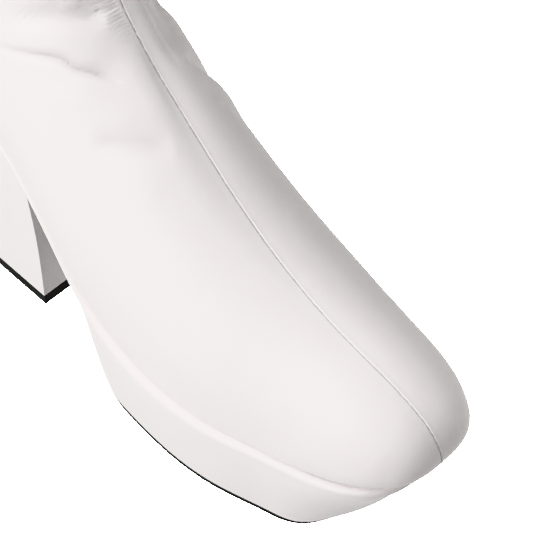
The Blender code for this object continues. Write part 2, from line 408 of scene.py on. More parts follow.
@dataclass(frozen=True)
class Rubber:
    """Matt black rubber with a fine stipple."""

    name: str
    colour: Colour = (0.006, 0.006, 0.006)
    dust: Colour = (0.014, 0.013, 0.013)
    roughness: float = 0.6
    roughness_play: float = 0.16
    gloss: float = 0.25
    dust_scale: float = 90.0
    dust_detail: float = 3.0
    stipple_scale: float = 1100.0
    stipple_height: float = 0.00005

    def material(self) -> bpy.types.Material:
        """Make the material.

        Returns:
            Black rubber with stippled gloss.
        """
        material, nodes = material_nodes(self.name)
        stipple = nodes.cells(self.stipple_scale)
        tone = nodes.noise(self.dust_scale, self.dust_detail)
        nodes.surface({
            "Base Color": nodes.blend(tone, self.colour, self.dust),
            "Roughness": (tone - MIDDLE) * self.roughness_play + self.roughness,
            "Specular IOR Level": self.gloss,
            "Normal": nodes.bump(self.stipple_height * stipple),
        })
        return material


@dataclass(frozen=True)
class Lining:
    """Matt beige lining with a short nap."""

    name: str
    colour: Colour = (0.64, 0.57, 0.48)
    shade: Colour = (0.56, 0.49, 0.41)
    roughness: float = 0.72
    roughness_play: float = 0.2
    nap_scale: float = 900.0
    nap_detail: float = 4.0
    nap_height: float = 0.00006
    mottle_scale: float = 70.0
    mottle_detail: float = 3.0

    def material(self) -> bpy.types.Material:
        """Make the material.

        Returns:
            Beige lining with mottled nap.
        """
        material, nodes = material_nodes(self.name)
        nap = nodes.noise(self.nap_scale, self.nap_detail)
        mottle = nodes.noise(self.mottle_scale, self.mottle_detail)
        nodes.surface({
            "Base Color": nodes.blend(mottle, self.colour, self.shade),
            "Roughness": (nap - MIDDLE) * self.roughness_play + self.roughness,
            "Normal": nodes.bump(self.nap_height * nap),
        })
        return material


@dataclass(frozen=True)
class Thread:
    """White sewing thread."""

    name: str
    colour: Colour = (0.70, 0.68, 0.67)
    shade: Colour = (0.56, 0.54, 0.53)
    roughness: float = 0.6
    twist_scale: float = 2600.0
    twist_height: float = 0.00004

    def material(self) -> bpy.types.Material:
        """Make the material.

        Returns:
            Thread with the small light and dark of its twist.
        """
        material, nodes = material_nodes(self.name)
        twist = nodes.noise(self.twist_scale)
        nodes.surface({
            "Base Color": nodes.blend(twist, self.colour, self.shade),
            "Roughness": self.roughness,
            "Normal": nodes.bump(self.twist_height * twist),
        })
        return material


@dataclass
class Last:
    """The last: its bottom edge, the platform's underside and the sections of the upper."""

    length: float = 242.0
    forefoot_rise: float = 37.0
    heel_rise: float = 110.0
    toe_spring: float = 5.0
    toe_spring_start: float = 180.0
    ball_lateral: float = 41.5
    ball_medial: float = 37.0
    collar_rise: float = 302.0
    toe_start: float = 200.0
    toe_round_lateral: float = 2.75
    toe_round_medial: float = 2.9
    tip_shift_end: float = 1.0
    heel_start: float = 30.0
    heel_round: float = 2.1
    waist_end: float = 88.0
    forefoot_start: float = 130.0
    fit_gap: float = 0.4
    outsole: float = 2.0
    seat: float = 5.0
    tread_rear: float = 128.0
    tread_front: float = 208.0
    toe_rake: float = 26.8
    toe_rake_power: float = 1.55
    back_run: float = 21.0
    back_rise: float = 44.0
    back_power: float = 3.0
    back_reach: float = 3.0
    waist_blend: float = 3.0
    back_envelope: float = 10.0
    heel_section: int = 10
    toe_sections: int = 3
    ring_sections: int = 2
    cup_rise: float = 30.0
    cup_least: float = 0.001
    lift_back: float = 6.0
    lift_half: float = 29.8
    least_step: float = 0.5
    low_points: int = 70
    arch_points: int = 260
    bottom: tuple[Station, ...] = field(init=False)
    sections: tuple[Section, ...] = field(init=False)

    def __post_init__(self) -> None:
        """Fill in the tables and the splines through them."""
        ball_lateral, ball_medial = self.ball_lateral, self.ball_medial
        self.bottom = (
            Station("heel back", 0.0, 26.0, 26.0, 1.0),
            Station("heel seat", 24.0, 30.0, 30.0, 0.94),
            Station("seat front", 50.0, 31.0, 28.0, 0.80),
            Station("shank", 76.0, 33.5, 26.0, 0.53),
            Station("waist", 100.0, 37.4, 27.5, 0.21),
            Station("joint", 122.0, 39.6, 31.5, 0.045),
            Station("ball", 152.0, ball_lateral, ball_medial - 1.5, 0.0),
            Station("tread", 176.0, ball_lateral - 2.2, ball_medial - 0.5, 0.0),
            Station("toe root", 200.0, ball_lateral - 8.6, ball_medial - 1.8, 0.0),
            Station("toe tip", self.length, ball_lateral - 15.0, ball_medial - 6.8, 0.0),
        )
        toe_edge = self.forefoot_rise + self.toe_spring
        self.sections = (
            Section("toe edge", self.length, toe_edge, self.toe_start, None, 0.0, 0.0, 2.8),
            Section("toe wall", 249.3, 48.7, 199.5, None, 0.8, 0.07, 2.7),
            Section("toe brow", 248.6, 58.2, 197.5, None, 1.2, 0.14, 2.5),
            Section("toe roof", 239.8, 68.0, 194.0, None, 1.1, 0.20, 2.4),
            Section("toe box", 221.0, 76.3, 187.0, None, 0.5, 0.24, 2.2),
            Section("vamp", 192.0, 84.8, 174.0, None, 0.0, 0.26, 2.2),
            Section("ball", 158.5, 104.3, 150.0, None, 0.0, 0.27, 2.2),
            Section("waist", 130.0, 131.5, 116.0, None, 1.0, 0.30, 2.2),
            Section("instep", 108.0, 154.8, 74.0, None, 2.4, 0.36, 2.2),
            Section("throat", 93.5, 181.0, 28.0, None, 4.0, 0.42, 2.2),
            Section("heel curve", 85.5, 210.0, 0.0, self.heel_rise, 7.5, 0.46, 2.2),
            Section("ankle", 83.0, 240.0, 3.0, 186.0, 9.5, 0.50, 2.1),
            Section("calf", 86.0, 272.0, 1.5, 246.0, 12.0, 0.50, 2.1),
            Section("collar", 90.0, self.collar_rise, -3.0, self.collar_rise, 14.5, 0.50, 2.1),
        )
        stations = column(self.bottom, "x")
        self.half_width = {
            Side.LATERAL: Spline(stations, column(self.bottom, "lateral")),
            Side.MEDIAL: Spline(stations, column(self.bottom, "medial")),
        }
        self.toe_round = {Side.LATERAL: self.toe_round_lateral, Side.MEDIAL: self.toe_round_medial}
        self.drop_left = Spline(stations, column(self.bottom, "drop_left"))
        low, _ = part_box("heel_lift")
        self.origin = np.array([self.lift_back - low.x / MM, -self.lift_half - low.y / MM, 0.0])

    def metres(self, points: np.ndarray) -> np.ndarray:
        """Points of the last frame in the boot's own frame, in metres."""
        return (np.asarray(points, float) - self.origin) * MM

    def edge_height(self, x: np.ndarray) -> np.ndarray:
        """Height over the floor of the last's bottom edge.

        Args:
            x: Places along the last.

        Returns:
            The height at each.
        """
        run = self.length - self.toe_spring_start
        spring = np.clip((x - self.toe_spring_start) / run, 0, None) ** 2
        drop = (self.heel_rise - self.forefoot_rise) * self.drop_left(np.clip(x, 0, self.length))
        return self.forefoot_rise + drop + self.toe_spring * spring

    def end_rounding(self, x: np.ndarray, side: Side, grow: np.ndarray | float) -> np.ndarray:
        """Share of the half-width left at x by the rounding of the toe and of the heel.

        Args:
            x: Places along the last.
            side: Which side.
            grow: Growth over the last's edge there.

        Returns:
            The share, from 0 at the ends to 1.
        """
        toe = np.clip((x - self.toe_start) / (self.length + grow - self.toe_start), 0, 1)
        heel = np.clip((self.heel_start - x) / (self.heel_start + grow), 0, 1)
        power = self.toe_round[side]
        return (1 - toe**power) ** (1 / power) * (1 - heel**self.heel_round) ** (1 / self.heel_round)

    def tip_shift(self, x: np.ndarray) -> np.ndarray:
        """How far the toe's middle lies towards the medial side at x."""
        return self.tip_shift_end * np.clip((x - self.toe_start) / (self.length - self.toe_start), 0, 1) ** 2

    def edge_y(self, x: np.ndarray, side: Side, grow: np.ndarray | float) -> np.ndarray:
        """Sideways place of the last's bottom edge, grown outwards.

        Args:
            x: Places along the last.
            side: Which side.
            grow: Growth over the last's edge there.

        Returns:
            The y of the edge.
        """
        shift = self.tip_shift(x)
        reach = self.half_width[side](np.clip(x, 0, self.length)) + grow - side.value * shift
        return shift + side.value * reach * self.end_rounding(x, side, grow)

    def growth(self, x: np.ndarray, toe: float, forefoot: float, waist: float) -> np.ndarray:
        """Growth over the last's edge at x, eased between waist, forefoot and toe.

        Args:
            x: Places along the last.
            toe: Growth at the toe tip.
            forefoot: Growth at the ball.
            waist: Growth behind the arch.

        Returns:
            The growth at each place.
        """
        front = forefoot + (toe - forefoot) * ease((x - self.toe_start) / (self.length - self.toe_start))
        run = self.forefoot_start - self.waist_end
        return waist + (front - waist) * ease((x - self.waist_end) / run)

    def underside(self, x: np.ndarray) -> np.ndarray:
        """Height over the floor of the platform's underside.

        Args:
            x: Places along the last.

        Returns:
            The height at each.
        """
        tread = self.outsole + self.fit_gap
        toe_share = (x - self.tread_front) / (self.length - self.tread_front)
        toe = np.clip(toe_share, 0, None) ** self.toe_rake_power
        back = np.clip((self.tread_rear - x) / self.back_run, 0, self.back_reach) ** self.back_power
        block = tread + self.toe_rake * toe + self.back_rise * back
        waist = self.edge_height(x) - self.fit_gap - self.seat
        apart = block - waist
        blended = (block + waist - np.sqrt(apart**2 + self.waist_blend**2)) / 2
        return blended + self.waist_blend**2 / (4 * np.maximum(np.abs(apart), self.waist_blend))

    def along(self, spans: Sequence[Span], ends: int, start: float = 0.0) -> np.ndarray:
        """Stations along the last, closer together at its round ends.

        Args:
            spans: Stretches between the round ends.
            ends: Stations in each round end.
            start: Where the first station is.

        Returns:
            The stations, rising.
        """
        turn = np.linspace(0, QUARTER_TURN, ends, endpoint=False)
        heel = self.heel_start * (1 - np.cos(turn))
        toe = self.toe_start + (self.length - self.toe_start) * np.sin(turn)
        stations = np.concatenate([heel, steps(spans)[:-1], toe, [self.length]])
        return np.concatenate([[start], stations[stations > start + self.least_step]])

    def side_level(
        self, stations: np.ndarray, grow: np.ndarray, height: Callable[[np.ndarray], np.ndarray]
    ) -> list[np.ndarray]:
        """One level of a sole piece.

        Args:
            stations: Stations along the last.
            grow: Growth over the last's edge at each.
            height: Height at a place along the last.

        Returns:
            Edge points of the lateral and of the medial side.
        """
        x = stations + grow * (2 * stations / self.length - 1)
        z = height(x)
        return [np.stack([x, self.edge_y(x, side, grow), z], axis=-1) for side in Side]

    def section_columns(self, place: np.ndarray) -> dict[str, np.ndarray]:
        """The section table at any places between its rows.

        Args:
            place: Section numbers, whole or not.

        Returns:
            Its columns by name, one row for each place.
        """
        knots = np.arange(len(self.sections), dtype=float)
        names = ("top_x", "top_z", "bulge", "level", "roundness")
        table = {name: Spline(knots, column(self.sections, name))(place) for name in names}
        heel = self.heel_section
        foot_x = Spline(knots[: heel + 1], column(self.sections[: heel + 1], "base_x"))(place)
        back_x = Spline(knots[heel:], column(self.sections[heel:], "base_x"))(place)
        back_z = Spline(knots[heel:], column(self.sections[heel:], "base_z"))(place)
        on_sole = place <= heel
        table["base_x"] = np.where(on_sole, foot_x, back_x)
        table["base_z"] = np.where(on_sole, self.edge_height(foot_x), back_z)
        table["on_sole"] = on_sole
        table["place"] = place
        return {name: values[:, None] for name, values in table.items()}

    def heel_cup(
        self, table: dict[str, np.ndarray], side: Side, height: np.ndarray, full: np.ndarray, wall: np.ndarray
    ) -> np.ndarray:
        """Half-width of the cup that turns from the sole's edge into the oval back of the shaft.

        Args:
            table: Columns of the sections.
            side: Which side.
            height: Shares of the sections' heights.
            full: Full half-width of the upper there.
            wall: Half-width of the plain wall there.

        Returns:
            The cup's half-width there.
        """
        x = table["base_x"] + height * (table["top_x"] - table["base_x"])
        z = table["base_z"] + height * (table["top_z"] - table["base_z"])
        heel = self.sections[self.heel_section]
        oval_share = np.clip(x / (heel.level * (heel.top_x - heel.base_x)), 0, 1)
        oval = full * np.sqrt(1 - (1 - oval_share) ** 2)
        narrowing = 1 - np.abs(self.edge_y(x, side, 0.0)) / np.maximum(oval, self.cup_least)
        low = np.clip(1 - (z - self.edge_height(x)) / self.cup_rise, 0, 1)
        return np.where(table["on_sole"], oval, wall) * (1 - narrowing * low**2)

    def side_face(self, place: np.ndarray, side: Side) -> np.ndarray:
        """Close points of one side of the upper's outer face.

        Args:
            place: Section numbers.
            side: Which side.

        Returns:
            For each place, points from the base to the crest.
        """
        table = self.section_columns(place)
        base_x = table["base_x"]
        reach = table["top_x"] - base_x
        rise = table["top_z"] - table["base_z"]

        def full_half(height: np.ndarray) -> np.ndarray:
            """Half-width over the sole at a share of the height."""
            x = np.clip(base_x + height * reach, self.back_envelope, self.length)
            return self.half_width[side](x) + table["bulge"]

        edge = np.abs(self.edge_y(base_x, side, 0.0) - self.tip_shift(base_x)) * table["on_sole"]
        ring = np.clip((table["place"] - self.heel_section) / self.ring_sections + 1, 0, 1)
        toward = np.linspace(0, 1, self.low_points, endpoint=False)[None]
        swing = toward * QUARTER_TURN
        low_height = table["level"] * ((1 - ring) * toward + ring * (1 - np.cos(swing)))
        full = full_half(low_height)
        wall = edge + (full - edge) * np.sin(swing)
        low_half = wall + ease(ring) * (self.heel_cup(table, side, low_height, full, wall) - wall)
        toe_power = self.toe_round[side]
        past_toe = np.clip(table["place"] / self.toe_sections, 0, 1)
        power = toe_power + (table["roundness"] - toe_power) * past_toe
        turn = np.linspace(0, QUARTER_TURN, self.arch_points)[None]
        across = np.clip(np.cos(turn), 0, 1) ** (2 / power)
        across[:, -1] = 0.0
        arch_height = table["level"] + (1 - table["level"]) * (1 - across**power) ** (1 / power)
        arch_half = across * full_half(arch_height)
        height = np.concatenate([low_height, arch_height], axis=1)
        half = np.concatenate([low_half, arch_half], axis=1)
        x = base_x + height * reach
        y = side.value * half + height * self.tip_shift(x)
        return np.stack([x, y, table["base_z"] + height * rise], axis=-1)


def make_piece(
    name: str, bm: bmesh.types.BMesh, materials: Sequence[bpy.types.Material], sharp: float = 40.0
) -> bpy.types.Object:
    """Put a finished mesh in the scene.

    Args:
        name: Name of the piece.
        bm: Its mesh, in the boot's own frame, which is used up.
        materials: Its materials in the order of the faces' numbers.
        sharp: Angle in degrees from which an edge is shaded sharp.

    Returns:
        The new piece.
    """
    mesh = bpy.data.meshes.new(name)
    bm.to_mesh(mesh)
    bm.free()
    mesh.shade_smooth()
    mesh.set_sharp_from_angle(angle=math.radians(sharp))
    for material in materials:
        mesh.materials.append(material)
    piece = bpy.data.objects.new(name, mesh)
    bpy.context.scene.collection.objects.link(piece)
    return piece


def soften(piece: bpy.types.Object, width: float, segments: int = 3, angle: float = 40.0) -> None:
    """Round a piece's sharp edges.

    Args:
        piece: The piece.
        width: Width of the rounding, in millimetres.
        segments: Steps in the rounding.
        angle: Angle in degrees from which an edge is rounded.
    """
    bevel = piece.modifiers.new("soft edge", "BEVEL")
    bevel.width = width * MM
    bevel.segments = segments
    bevel.limit_method = "ANGLE"
    bevel.angle_limit = math.radians(angle)
    bevel.harden_normals = False


def belong(piece: bpy.types.Object, node: str | None = None) -> None:
    """Tie a piece to the boot's body.

    Args:
        piece: The piece.
        node: The solid that it stands for, if any.
    """
    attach(piece, BODY)
    if node:
        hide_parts(node)
    LOG.info("%s: %d faces", piece.name, len(piece.data.polygons))


def loft(last: Last, levels: Sequence[Sequence[np.ndarray]], caps: Sequence[int] = ()) -> bmesh.types.BMesh:
    """Solid through levels of edge points, from its top level to its bottom level.

    Args:
        last: The last, which sets the frame.
        levels: For each level, the edge points of both sides.
        caps: Rings that get a flat face, 0 the first and -1 the last.

    Returns:
        The closed mesh.
    """
    lateral = [sides[0] for sides in levels]
    medial = [sides[1] for sides in levels]
    rings = last.metres(np.stack(lateral + medial[::-1], axis=1))
    bm = bmesh.new()
    grid = [[bm.verts.new(point) for point in ring] for ring in rings]
    for near, far in zip(grid, grid[1:]):
        around = list(zip(near, far))
        for (a, d), (b, c) in zip(around, around[1:] + around[:1]):
            bm.faces.new((a, b, c, d))
    for ring in caps:
        bm.faces.new(grid[ring])
    bmesh.ops.remove_doubles(bm, verts=bm.verts, dist=MERGE)
    bmesh.ops.dissolve_degenerate(bm, edges=bm.edges, dist=MERGE)
    bmesh.ops.recalc_face_normals(bm, faces=bm.faces)
    return bm


def bottom_edge(grid: list[list[bmesh.types.BMVert]], heel: int) -> list[bmesh.types.BMVert]:
    """Lower edge of a grid from the lateral heel, at row number heel, round the toe to the medial heel."""
    return [row[0] for row in grid[heel:0:-1]] + grid[0] + [row[-1] for row in grid[1 : heel + 1]]


SOLE_SPANS = (Span(30.0, 98.0, 30), Span(98.0, 130.0, 40), Span(130.0, 200.0, 34))
SOLE_ENDS = 28


@dataclass
class Platform:
    """Leather-wrapped platform: rounded lip, wall, raked toe and steep back, thin under waist and heel."""

    last: Last
    leather: Leather
    lip_depth: float = 14.0
    feather_gap: float = 0.06
    corner_cuts: int = 3
    corner_share: float = 0.25
    side: tuple[Ledge, ...] = (
        Ledge("top", 0.6, 0.6, -0.2, 0.0, 0.0),
        Ledge("shoulder", 2.0, 2.3, 0.5, 0.0, 0.7),
        Ledge("lip", 2.7, 3.0, 0.9, 0.0, 2.3),
        Ledge("wall", 1.5, 2.7, 0.8, 0.30, 2.3),
        Ledge("skirt", -6.0, 2.0, 0.4, 0.80, 0.0),
        Ledge("tread edge", -8.8, 1.2, -0.4, 1.0, 0.0),
    )

    def rounded_side(self) -> np.ndarray:
        """The side's table with its corners cut over and over, which rounds them.

        Returns:
            Rows of growth at toe, forefoot and waist, depth and drop.
        """
        rows = np.array([ledge[1:] for ledge in self.side])
        cut, rest = self.corner_share, 1 - self.corner_share
        for _ in range(self.corner_cuts):
            near = rest * rows[:-1] + cut * rows[1:]
            far = cut * rows[:-1] + rest * rows[1:]
            between = np.stack([near, far], axis=1).reshape(-1, rows.shape[1])
            rows = np.concatenate([rows[:1], between[1:-1], rows[-1:]])
        return rows

    def level_height(self, x: np.ndarray, share: float, drop: float) -> np.ndarray:
        """Height over the floor of one level of the side.

        Args:
            x: Places along the last.
            share: Share of the platform's depth that the level lies down.
            drop: What it lies below that, where the platform is deep.

        Returns:
            The height at each place.
        """
        top = self.last.edge_height(x) - self.feather_gap
        depth = top - self.last.underside(x)
        return top - share * depth - drop * (1 - share) * np.minimum(1, depth / self.lip_depth)

    def build(self) -> None:
        """Build and dress the platform."""
        stations = self.last.along(SOLE_SPANS, SOLE_ENDS)
        levels = []
        for toe, forefoot, waist, share, drop in self.rounded_side():
            grow = self.last.growth(stations, toe, forefoot, waist)
            height = partial(self.level_height, share=share, drop=drop)
            levels.append(self.last.side_level(stations, grow, height))
        piece = make_piece("platform_wrap", loft(self.last, levels), [self.leather.material()])
        belong(piece, "platform")


@dataclass
class Outsole:
    """Black rubber sheet under the platform, from the heel breast to the toe."""

    last: Last
    rubber: Rubber
    toe: float = -14.0
    forefoot: float = 1.2
    waist: float = -6.0
    start: float = 67.9
    edge: float = 0.35

    def build(self) -> None:
        """Build and dress the outsole."""
        last = self.last
        stations = last.along(SOLE_SPANS, SOLE_ENDS, self.start)
        grow = last.growth(stations, self.toe, self.forefoot, self.waist)
        levels = []
        for depth in (last.fit_gap, last.fit_gap + last.outsole):
            sides = last.side_level(stations, grow, last.underside)
            for points in sides:
                slope = np.gradient(last.underside(points[:, 0]), points[:, 0])
                length = np.sqrt(1 + slope**2)
                points[:, 0] += depth * slope / length
                points[:, 2] -= depth / length
            levels.append(sides)
        piece = make_piece("outsole_sheet", loft(last, levels, caps=(0,)), [self.rubber.material()])
        soften(piece, self.edge)
        belong(piece, "outsole")


@dataclass
class Insole:
    """Beige sock lining on the bottom of the boot."""

    last: Last
    lining: Lining
    inset: float = 4.4
    thickness: float = 2.5
    edge: float = 0.6

    def build(self) -> None:
        """Build and dress the insole."""
        stations = self.last.along(SOLE_SPANS, SOLE_ENDS)
        grow = np.full_like(stations, -self.inset)
        levels = []
        for rise in (self.thickness, 0.0):
            sides = self.last.side_level(stations, grow, self.last.edge_height)
            for points in sides:
                points[:, 2] += rise
            levels.append(sides)
        piece = make_piece("insole_sock", loft(self.last, levels), [self.lining.material()])
        soften(piece, self.edge)
        belong(piece, "insole")


@dataclass
class Heel:
    """Leather-wrapped block heel and the rubber lift under it."""

    last: Last
    leather: Leather
    rubber: Rubber
    breast_top: float = 65.5
    breast_floor: float = 69.0
    back_top: float = 0.6
    back_floor: float = 6.0
    half_top: float = 29.4
    half_floor: float = 29.8
    slim: float = 1.4
    lift: float = 5.0
    levels: int = 25
    round_stations: int = 30
    straight_stations: int = 16
    leather_edge: float = 0.9
    lift_edge: float = 0.4

    def outline(self, depth: float) -> tuple[np.ndarray, np.ndarray]:
        """D outline at a share of the heel's depth.

        Args:
            depth: 0 at the seat, 1 at the lift.

        Returns:
            The stations and the half-width at each.
        """
        slim = self.slim * math.sin(HALF_TURN * depth)
        back = self.back_top + (self.back_floor - self.back_top) * depth + slim
        breast = self.breast_top + (self.breast_floor - self.breast_top) * depth
        half = self.half_top + (self.half_floor - self.half_top) * depth - slim
        run = self.last.heel_start
        turn = np.linspace(0, QUARTER_TURN, self.round_stations, endpoint=False)
        straight = np.linspace(back + run, breast, self.straight_stations)
        x = np.concatenate([back + run * (1 - np.cos(turn)), straight])
        bend = np.clip((back + run - x) / run, 0, 1)
        return x, half * (1 - bend**self.last.heel_round) ** (1 / self.last.heel_round)

    def block(self) -> None:
        """Build and dress the block."""
        foot = self.lift + self.last.fit_gap
        levels = []
        for depth in np.linspace(0, 1, self.levels):
            x, y = self.outline(depth)
            seat = self.last.underside(x) - self.last.fit_gap
            z = seat + (foot - seat) * depth
            levels.append([np.stack([x, side.value * y, z], axis=-1) for side in Side])
        piece = make_piece("heel_wrap", loft(self.last, levels, caps=(-1,)), [self.leather.material()])
        soften(piece, self.leather_edge)
        belong(piece, "heel")

    def top_piece(self) -> None:
        """Build and dress the lift."""
        x, y = self.outline(1.0)
        levels = []
        for height in (self.lift, 0.0):
            z = np.full_like(x, height)
            levels.append([np.stack([x, side.value * y, z], axis=-1) for side in Side])
        piece = make_piece("heel_lift_rubber", loft(self.last, levels, caps=(-1,)), [self.rubber.material()])
        soften(piece, self.lift_edge)
        belong(piece, "heel_lift")

    def build(self) -> None:
        """Build the block and the lift."""
        self.block()
        self.top_piece()


@dataclass
class StitchRow:
    """A row of stitches along a line of points, laid by Geometry Nodes."""

    thread: bpy.types.Material
    pitch: float = 3.0
    length: float = 2.3
    thickness: float = 0.24
    bead_segments: int = 8
    bead_rings: int = 6
    bead_radius: float = 0.5

    def tree(self) -> bpy.types.NodeTree:
        """Build the tree that lays a stitch at every pitch along an edge line.

        Returns:
            The node group, with its sizes and its material as inputs.
        """
        group = bpy.data.node_groups.new("lay_stitches", "GeometryNodeTree")
        nodes = Nodes(group)
        group.interface.new_socket("Line", in_out="INPUT", socket_type="NodeSocketGeometry")
        for name in ("Pitch", "Stitch Length", "Thread Thickness"):
            group.interface.new_socket(name, in_out="INPUT", socket_type="NodeSocketFloat")
        group.interface.new_socket("Thread", in_out="INPUT", socket_type="NodeSocketMaterial")
        group.interface.new_socket("Stitches", in_out="OUTPUT", socket_type="NodeSocketGeometry")
        sizes = nodes.add("NodeGroupInput").outputs
        curve = nodes.add("GeometryNodeMeshToCurve", None, {"Mesh": sizes["Line"]})
        spaced = nodes.add(
            "GeometryNodeResampleCurve", {"mode": "LENGTH"},
            {"Curve": curve.outputs["Curve"], "Length": sizes["Pitch"]},
        )
        round_form = {"Segments": self.bead_segments, "Rings": self.bead_rings, "Radius": self.bead_radius}
        bead = nodes.add("GeometryNodeMeshUVSphere", None, round_form)
        smooth = nodes.add("GeometryNodeSetShadeSmooth", None, {"Geometry": bead.outputs["Mesh"]})
        girth = sizes["Thread Thickness"]
        scale = nodes.add("ShaderNodeCombineXYZ", None, {"X": sizes["Stitch Length"], "Y": girth, "Z": girth})
        tangent = nodes.add("GeometryNodeInputTangent")
        turn = nodes.add(
            "FunctionNodeAlignRotationToVector", {"axis": "X"}, {"Vector": tangent.outputs["Tangent"]}
        )
        laid = nodes.add(
            "GeometryNodeInstanceOnPoints", None,
            {
                "Points": spaced.outputs["Curve"],
                "Instance": smooth.outputs["Geometry"],
                "Rotation": turn.outputs["Rotation"],
                "Scale": scale.outputs["Vector"],
            },
        )
        real = nodes.add("GeometryNodeRealizeInstances", None, {"Geometry": laid.outputs["Instances"]})
        dressed = nodes.add(
            "GeometryNodeSetMaterial", None,
            {"Geometry": real.outputs["Geometry"], "Material": sizes["Thread"]},
        )
        nodes.add("NodeGroupOutput", None, {"Stitches": dressed.outputs["Geometry"]})
        return group

    def build(self, name: str, points: np.ndarray) -> None:
        """Lay the stitches as one plain mesh.

        Args:
            name: Name of the piece.
            points: The line in the boot's own frame, in metres.
        """
        mesh = bpy.data.meshes.new(name)
        mesh.from_pydata(points.tolist(), [(i, i + 1) for i in range(len(points) - 1)], [])
        piece = bpy.data.objects.new(name, mesh)
        bpy.context.scene.collection.objects.link(piece)
        group = self.tree()
        modifier = piece.modifiers.new("stitches", "NODES")
        modifier.node_group = group
        values = {
            "Pitch": self.pitch * MM,
            "Stitch Length": self.length * MM,
            "Thread Thickness": self.thickness * MM,
            "Thread": self.thread,
        }
        for item in group.interface.items_tree:
            if item.in_out == "INPUT" and item.name in values:
                modifier[item.identifier] = values[item.name]
        depsgraph = bpy.context.evaluated_depsgraph_get()
        plain = bpy.data.meshes.new_from_object(piece.evaluated_get(depsgraph))
        piece.modifiers.remove(modifier)
        piece.data = plain
        bpy.data.meshes.remove(mesh)
        plain.name = name
        belong(piece)


# Folds of the upper, in the columns of Fold. Those with a last value over 0 also paint shade into the
# leather's colour along their lines, for the shade in the creases.
ANKLE_FOLDS = (
    Fold(
        "main crease",
        (
            (9.05, -62.0), (8.75, -45.0), (8.44, -30.2), (8.21, -24.4),
            (7.98, -18.2), (7.82, -14.5), (7.68, -11.3),
        ),
        -2.2, 1.2, 2.2, (0.3, 0.4), edge=1.5, painted_shade=0.5,
    ),
    Fold(
        "shoulder beside the seam",
        ((8.5, -3.5), (8.2, -3.6), (7.7, -4.0), (7.2, -5.0), (6.6, -6.0)),
        1.0, 9.5, 2.8, (0.5, 0.4), Run.ALONG,
    ),
    Fold(
        "roll over the crease",
        ((9.1, -58.0), (8.85, -43.0), (8.53, -27.0), (8.33, -21.5), (8.15, -15.7), (7.97, -11.0)),
        0.9, 2.6, 7.0, (0.3, 0.4),
    ),
    Fold(
        "valley over the roll",
        ((9.2, -45.0), (8.97, -32.0), (8.77, -22.7), (8.64, -16.4), (8.53, -10.2), (8.47, -6.3)),
        -2.0, 3.0, 5.0, painted_shade=0.06,
    ),
    Fold("swell over the valley", ((9.3, -40.0), (9.12, -22.0), (9.0, -12.0), (8.9, -3.0)), 1.2, 5.0, 6.0),
    Fold("bump in the valley", ((8.90, -22.0), (8.84, -17.0), (8.78, -13.0)), 0.4, 2.0, 2.5),
    Fold(
        "short crease at the seam",
        ((8.60, -10.5), (8.56, -7.0), (8.50, -2.0)),
        -0.6, 0.6, 1.1, edge=1.4, painted_shade=0.3,
    ),
    Fold(
        "roll under the crease",
        ((8.3, -45.0), (8.03, -31.2), (7.72, -25.0), (7.45, -19.0), (7.16, -11.2)),
        0.9, 5.0, 5.0,
    ),
    Fold(
        "trough under the roll",
        ((7.6, -36.0), (7.47, -30.0), (7.27, -23.2), (7.03, -14.7), (6.9, -9.0)),
        -0.9, 3.5, 4.0, painted_shade=0.22,
    ),
    Fold("rise below it", ((7.4, -44.0), (7.1, -34.0), (6.85, -26.0), (6.65, -18.0)), 0.4, 7.0, 6.0),
)
# The seam band's edge also carries painted shade, given as the last value in its row.
INNER_FOLDS = (
    Fold(
        "edge of the seam band",
        ((8.95, 7.0), (8.5, 7.0), (8.19, 7.1), (7.68, 7.6), (7.45, 7.7)),
        -0.5, 1.3, 1.0, (0.1, 0.4), Run.ALONG, 1.5, 0.2,
    ),
    Fold(
        "inner hollow",
        ((8.6, 18.5), (8.31, 18.0), (8.08, 17.0), (7.85, 15.5), (7.6, 13.5)),
        -1.7, 6.5, 6.0, run=Run.ALONG,
    ),
    Fold(
        "inner tuck",
        ((8.55, 10.0), (8.42, 20.0), (8.34, 30.0), (8.26, 44.0), (8.2, 58.0)),
        -2.2, 5.0, 7.0,
    ),
    Fold(
        "inner notch",
        ((7.66, 13.0), (7.56, 20.0), (7.49, 26.0), (7.42, 34.0), (7.34, 46.0)),
        -2.4, 1.7, 4.0,
    ),
    Fold("inner puff", ((7.40, 15.0), (7.30, 24.0), (7.22, 32.0), (7.10, 46.0)), 1.0, 4.0, 2.2),
    Fold("second inner notch", ((7.06, 16.0), (6.96, 25.0), (6.86, 36.0)), -0.7, 2.0, 2.4),
    Fold("inner dent", ((6.25, 18.0), (6.12, 26.0), (6.02, 34.0)), -0.5, 2.6, 2.6),
)
SHAFT_FOLDS = (
    Fold("outer ankle slouch", ((9.5, -8.0), (9.7, -30.0), (10.0, -60.0), (10.3, -88.0)), -1.3, 5.0, 7.0),
    Fold("inner ankle slouch", ((8.9, 18.0), (9.1, 36.0), (9.5, 62.0), (10.0, 88.0)), -1.4, 5.0, 7.0),
    Fold("outer swell over it", ((9.9, -10.0), (10.15, -34.0), (10.5, -64.0)), 0.9, 7.0, 7.0),
    Fold("inner swell over it", ((9.4, 16.0), (9.6, 40.0), (10.0, 70.0)), 0.9, 7.0, 7.0),
    Fold("outer high slack", ((10.7, -16.0), (10.95, -50.0), (11.3, -90.0)), -0.7, 7.0, 9.0),
    Fold("inner high slack", ((10.5, 16.0), (10.8, 50.0), (11.2, 90.0)), -0.7, 7.0, 9.0),
)


